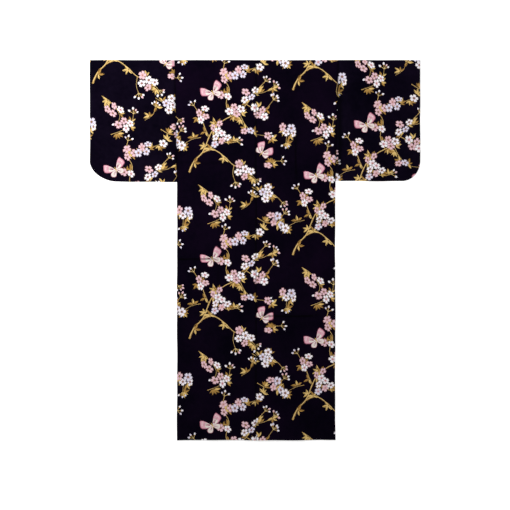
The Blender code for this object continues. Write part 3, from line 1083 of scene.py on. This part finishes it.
def makeSleeve(sideName):
    side = sides[sideName]
    sign, corner = side["sign"], sleeveCorner(side)
    drop, reach, cuff = side["drop"] * 1000, side["reach"] * 1000, garment["cuffDepth"] * 1000
    inner = side["shoulder"] * 1000 + cloth["play"]
    lowerInner = garment["backHalf"] * 1000 + cloth["play"]
    half = [(reach, 0.0)] + corner + [(lowerInner, drop)]
    outline = onSide(sign, [(inner, 0.0)] + [(a, -y) for a, y in half[::-1]] + half[1:])
    lines = foldLines(sign, inner + 1, reach - 1)
    lines += creaseLines(onSide(sign, [(inner + 1, -8), (reach - 2, -8), (reach - 2, 90 - drop),
                                       (reach - 110, 3 - drop), (lowerInner + 1, 3 - drop)]))
    for into in besideStitches(sewing["cuffIn"]):
        lines.append(onSide(sign, [(reach - into, -10), (reach - into, -cuff)]))
    sheet = cutAndPrint(outline, cloth["fineStep"], "sleeve_" + sideName, lines, foldLevels,
                        cloth["fineFrom"])
    sewnPath = onSide(sign, [(reach, cuff)] + corner + [(lowerInner, drop)])
    armhole = onSide(sign, [(lowerInner, -drop), (inner, 0.0)])

    def mapped(flat):
        sewn = edgeDistance(np.stack([flat[:, 0], np.abs(flat[:, 1])], 1), sewnPath)
        seams = [edgeDistance(flat, armhole) / 1000]

        def rise(x, down):
            lifted = clothRise(x, down, flat[:, 1] / 1000, seams, sewn / 1000)
            dip = stitchDip(np.abs(x) - (side["reach"] - sewing["cuffIn"]), "cuff")
            return lifted - dip * (down < garment["cuffDepth"])

        return foldedCloth(flat, lambda x, down: np.full_like(x, cloth["layer"]), leftFrontHeight, rise,
                           ridge(sewn, sewing["sleeveHalf"]), np.zeros(len(flat)))

    keepPiece("sleeve_" + sideName, sheet, mapped, (armhole,))




def makeOkumi(sideName):
    sign = sides[sideName]["sign"]
    top = garment["pointDrop"] + garment["pointBlunt"]
    stops = [top, garment["collarEndDrop"], garment["length"]]
    outer = [(sign * float(collarLine(np.float64(d))) * 1000, d * 1000) for d in stops]
    inner = [(sign * (float(frontEdge(np.float64(d))) * 1000 - cloth["play"]), d * 1000)
             for d in reversed(stops)]
    outline = outer + inner
    sheet = cutAndPrint(outline, cloth["coarseStep"], "okumi_" + sideName)

    def mapped(flat):
        x, down = flat[:, 0] / 1000, flat[:, 1] / 1000
        z = frontHeights[sideName](x, down) + cloth["wall"] / 2
        return world(x, down, z), np.tile([0.0, 0.0, -1.0], (len(x), 1))

    keepPiece("okumi_" + sideName, sheet, mapped)


# Cross lines of the collar from the left end to the right end: the two ends of each line as x and
# down, and the side whose height it takes
def collarStations():
    downs = {garment["collarEndDrop"] * i / 16 for i in range(17)} | {garment["pointDrop"]}
    gap = 0.00006
    leg = []
    for down in sorted(downs, reverse=True):
        d = np.float64(down)
        ahead = float(collarLine(d + 0.001) - collarLine(d - 0.001))
        along = Vector((ahead, 0.002)).normalized()
        inward = Vector((-along.y, along.x)) if down > 0 else Vector((-1.0, 1.0))
        width = float(collarWidth(d))
        line = float(collarLine(d))
        leg.append(((line + inward.x * gap, down + inward.y * gap),
                    (line + inward.x * width, down + inward.y * width)))
    rows = [((-a[0], a[1]), (-b[0], b[1]), "left") for a, b in leg]
    neck, width = garment["neckHalf"], garment["collarNeckWidth"]
    for share in (0.25, 0.5, 0.75):
        rows.append(((mix(gap - neck, neck - gap, share), gap),
                     (mix(width - neck, neck - width, share), width), "left"))
    return rows + [(a, b, "right") for a, b in reversed(leg)]


def makeCollar():
    rows = collarStations()
    middles = [((a[0] + b[0]) / 2, (a[1] + b[1]) / 2) for a, b, side in rows]
    lengths = [0.0]
    for before, after in zip(middles, middles[1:]):
        lengths.append(lengths[-1] + math.dist(before, after) * 1000)
    widths = [math.dist(a, b) * 1000 for a, b, side in rows]
    outline = [(0.0, s) for s in lengths] + [(w, s) for w, s in zip(reversed(widths), reversed(lengths))]
    lines = [cutLine([(1.5, s), (w - 1.5, s)]) for w, s in list(zip(widths, lengths))[1:-1]]
    sheet = cutAndPrint(outline, cloth["coarseStep"], "collar", lines, lengths[1:-1])

    def mapped(flat):
        place = np.zeros((len(flat), 3))
        for i in range(len(rows) - 1):
            inside = (flat[:, 1] >= lengths[i] - 1e-3) & (flat[:, 1] <= lengths[i + 1] + 1e-3)
            share = (flat[inside, 1] - lengths[i]) / (lengths[i + 1] - lengths[i])
            across = flat[inside, 0] / mix(widths[i], widths[i + 1], share)
            (ax, ad), (bx, bd), sideBefore = rows[i]
            (cx, cd), (dx, dd), sideAfter = rows[i + 1]
            x = mix(mix(ax, bx, across), mix(cx, dx, across), share)
            down = mix(mix(ad, bd, across), mix(cd, dd, across), share)
            height = frontHeights["right" if "right" in (sideBefore, sideAfter) else "left"]
            place[inside] = world(x, down, height(x, down) + cloth["wall"] / 2)
        return place, np.tile([0.0, 0.0, -1.0], (len(flat), 1))

    keepPiece("collar", sheet, mapped)


for sideName in sides:
    makeBody(sideName)
    makeSleeve(sideName)
    makeOkumi(sideName)
makeCollar()


# Stitches: hand sewn rows of dark thread along the hem and the cuffs

stitches = {
    "color": (0.010, 0.008, 0.016), "roughness": 0.7, "specular": 0.12,
    "threads": 5000.0, "slub": 0.5,
    "lift": 0.00006,          # above the cloth
    "endIn": 0.004,           # from the seams to the ends of a hem's row
    "topIn": 0.012,           # and from the shoulder fold to the top of a cuff's
    "hemParts": 60, "cuffParts": 40,      # of the line that a row follows
    "hem": {"Spacing": 0.0085, "Length": 0.0026, "Radius": 0.00024},
    "cuff": {"Spacing": 0.0070, "Length": 0.0024, "Radius": 0.00022},
}


def threadMaterial():
    material, tree, shader = newMaterial("darkThread", stitches["roughness"], stitches["specular"])
    place = tree.nodes.new("ShaderNodeTexCoord").outputs["Object"]
    twist = {"Vector": place, "Threads per metre": stitches["threads"], "Slub": stitches["slub"]}
    twisted = addNode(tree, "ShaderNodeGroup", twist, node_tree=weaveGroup).outputs["Shade"]
    shaded = vectorNode(tree, "SCALE", {0: stitches["color"], "Scale": twisted})
    tree.links.new(shaded, shader.inputs["Base Color"])
    return material


# A row of stitches along a line of edges: one small capsule for each, a little uneven
def makeStitchTree():
    tree, given, end = newGroup(
        "stitchRow",
        [("Line", "Geometry", None), ("Spacing", "Float", 0.008), ("Length", "Float", 0.0026),
         ("Radius", "Float", 0.00024), ("Seed", "Int", 7), ("Thread", "Material", None)],
        [("Stitches", "Geometry")], "GeometryNodeTree")
    curve = addNode(tree, "GeometryNodeMeshToCurve", {"Mesh": given["Line"]})
    line = {"Curve": curve.outputs["Curve"], "Length": given["Spacing"]}
    points = addNode(tree, "GeometryNodeCurveToPoints", line, mode="LENGTH").outputs
    capsule = addNode(tree, "GeometryNodeMeshUVSphere", {"Segments": 6, "Rings": 5, "Radius": 1.0})
    half = mathNode(tree, "MULTIPLY", given["Length"], 0.5)
    size = addNode(tree, "ShaderNodeCombineXYZ", {"X": given["Radius"], "Y": given["Radius"], "Z": half})
    shaped = addNode(tree, "GeometryNodeTransform", {"Geometry": capsule.outputs["Mesh"],
                                                     "Scale": size.outputs["Vector"]})
    chance = {"Min": (0.9, 0.9, 0.75), "Max": (1.1, 1.1, 1.20), "Seed": given["Seed"]}
    uneven = addNode(tree, "FunctionNodeRandomValue", chance, data_type="FLOAT_VECTOR")
    placed = addNode(tree, "GeometryNodeInstanceOnPoints", {
        "Points": points["Points"], "Instance": shaped.outputs["Geometry"],
        "Rotation": points["Rotation"], "Scale": uneven.outputs["Value"]})
    real = addNode(tree, "GeometryNodeRealizeInstances", {"Geometry": placed.outputs["Instances"]})
    paint = addNode(tree, "GeometryNodeSetMaterial", {"Geometry": real.outputs["Geometry"],
                                                      "Material": given["Thread"]})
    tree.links.new(paint.outputs["Geometry"], end["Stitches"])
    return tree


def stitchRow(name, line, sizes, tree):
    mesh = bpy.data.meshes.new(name)
    mesh.from_pydata(line, [(i, i + 1) for i in range(len(line) - 1)], [])
    row = addObject(name, mesh)
    modifier = row.modifiers.new("stitches", "NODES")
    modifier.node_group = tree
    for item in tree.interface.items_tree:
        if item.in_out == "INPUT" and item.name in sizes:
            modifier[item.identifier] = sizes[item.name]
    depsgraph = bpy.context.evaluated_depsgraph_get()
    result = bpy.data.meshes.new_from_object(row.evaluated_get(depsgraph))
    row.modifiers.clear()
    row.data = result
    bpy.data.meshes.remove(mesh)
    return row


# A line laid on the upper layer of a piece made before
def onCloth(piece, line):
    result = []
    for x, y in line:
        hit, place = piece.ray_cast(Vector((x, y, 0.1)), Vector((0, 0, -1)))[:2]
        if hit:
            result.append(tuple(place + Vector((0, 0, stitches["lift"]))))
    return result


def makeStitches():
    tree, thread = makeStitchTree(), threadMaterial()
    rows = {}
    bpy.context.view_layer.update()
    for seed, (sideName, side) in enumerate(sides.items()):
        sign, centerX, topY = side["sign"], garment["centerX"], garment["topY"]
        bottom = topY - garment["length"] + sewing["hemUp"]
        near, far, parts = stitches["endIn"], garment["backHalf"] - stitches["endIn"], stitches["hemParts"]
        hem = [(centerX + sign * mix(near, far, i / parts), bottom) for i in range(parts + 1)]
        edge = centerX + sign * (side["reach"] - sewing["cuffIn"])
        near, far, parts = stitches["topIn"], garment["cuffDepth"], stitches["cuffParts"]
        cuff = [(edge, topY - mix(near, far, i / parts)) for i in range(parts + 1)]
        for node, line, kind in (("body_" + sideName, hem, "hem"), ("sleeve_" + sideName, cuff, "cuff")):
            name = "yukata_" + kind + "_stitches_" + sideName
            sizes = {**stitches[kind], "Seed": seed + 3, "Thread": thread}
            rows[node] = stitchRow(name, onCloth(pieces[node], line), sizes, tree)
    print("stitches made:", sum(len(row.data.polygons) for row in rows.values()), "faces")
    return rows


stitchRows = makeStitches()


# Floor, light and camera

stage = {
    "floorHalf": 20.0, "floorDrop": 0.0002, "floorColor": (0.93, 0.93, 0.93), "floorGlow": 0.55,
    "sky": 0.34,
    "keyPlace": (-1.05, 1.30, 1.90), "keySize": 0.8, "keyPower": 59.5, "keyColor": (1.0, 0.985, 0.97),
    "photoWide": 2.04,        # metres across the photograph
    "photoCenter": (0.0, -0.020),
    "lens": 85.0, "sensor": 36.0,
}


def makeFloor():
    half = stage["floorHalf"]
    mesh = bpy.data.meshes.new("floor")
    corners = [(-half, -half, 0), (half, -half, 0), (half, half, 0), (-half, half, 0)]
    mesh.from_pydata(corners, [], [(0, 1, 2, 3)])
    floor = addObject("floor", mesh)
    floor.location.z = -stage["floorDrop"]
    paper, tree, shader = newMaterial("palePaper", 0.95, 0.0)
    shader.inputs["Base Color"].default_value = (*stage["floorColor"], 1.0)
    shader.inputs["Emission Color"].default_value = (1.0, 1.0, 1.0, 1.0)
    shader.inputs["Emission Strength"].default_value = stage["floorGlow"]
    mesh.materials.append(paper)


def makeLight():
    sky = bpy.data.worlds.new("studio")
    sky.use_nodes = True
    sky.node_tree.nodes["Background"].inputs["Color"].default_value = (1.0, 1.0, 1.0, 1.0)
    sky.node_tree.nodes["Background"].inputs["Strength"].default_value = stage["sky"]
    bpy.context.scene.world = sky
    light = bpy.data.lights.new("keyLight", "AREA")
    light.shape = "SQUARE"
    light.size = stage["keySize"]
    light.energy = stage["keyPower"]
    light.color = stage["keyColor"]
    lamp = addObject("keyLight", light)
    lamp.location = stage["keyPlace"]
    lamp.rotation_euler = (-Vector(stage["keyPlace"])).to_track_quat("-Z", "Y").to_euler()
    settings = bpy.context.scene.view_settings
    settings.view_transform = "Standard"
    settings.look = "None"


# Straight above the robe, looking down
def makeCamera():
    data = bpy.data.cameras.new("camera")
    data.lens = stage["lens"]
    data.sensor_width = stage["sensor"]
    data.sensor_fit = "HORIZONTAL"
    camera = addObject("camera", data)
    camera.location = (*stage["photoCenter"], stage["photoWide"] * stage["lens"] / stage["sensor"])
    bpy.context.scene.camera = camera


makeFloor()
makeLight()
makeCamera()
print("floor, light and camera set")


# What each piece is

for node, piece in pieces.items():
    kind = node.split("_")[0]
    piece.data.materials.append(cottonMaterials[kind])
    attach(piece, "root")
    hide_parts(node)
    sewn = [stitchRows[node]] if node in stitchRows else []
    for row in sewn:
        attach(row, "root")
